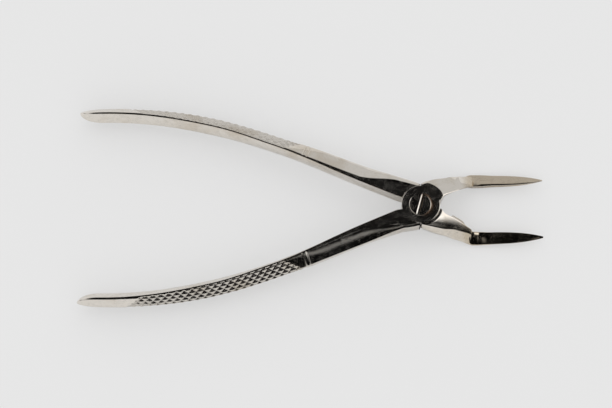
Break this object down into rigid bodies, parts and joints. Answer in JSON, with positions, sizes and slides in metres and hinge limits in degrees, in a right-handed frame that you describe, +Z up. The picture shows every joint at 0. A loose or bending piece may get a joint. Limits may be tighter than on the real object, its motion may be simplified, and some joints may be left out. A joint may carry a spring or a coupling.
{
  "type": "dental forceps",
  "caption": "Slender extraction forceps of polished steel: two levers crossing at a screwed lap joint, long curved handles with a cross-cut grip, short necks and pointed hollowed beaks.",
  "frame": {"origin": "on the pivot axis, at the flat underside of the lap joint", "axes": "+X from the joint towards the points of the beaks, +Y towards the under lever's handle, +Z up along the pivot axis to the screw's head"},
  "size_m": [0.1762, 0.0772, 0.0122],
  "materials": {
    "lever_steel": "polished, lightly worn",
    "screw_steel": "polished, worn, faintly brown in the slot"
  },
  "bodies": {
    "under_lever": {"under_lever": "lever_steel", "pivot_screw": "screw_steel"},
    "over_lever": {"over_lever": "lever_steel"}
  },
  "joints": [
    {"name": "lever_pivot", "type": "hinge", "parent": "under_lever", "child": "over_lever", "pos_m": [0, 0, 0.0045], "axis": [0, 0, -1], "range_deg": [-2, 25.5]}
  ]
}
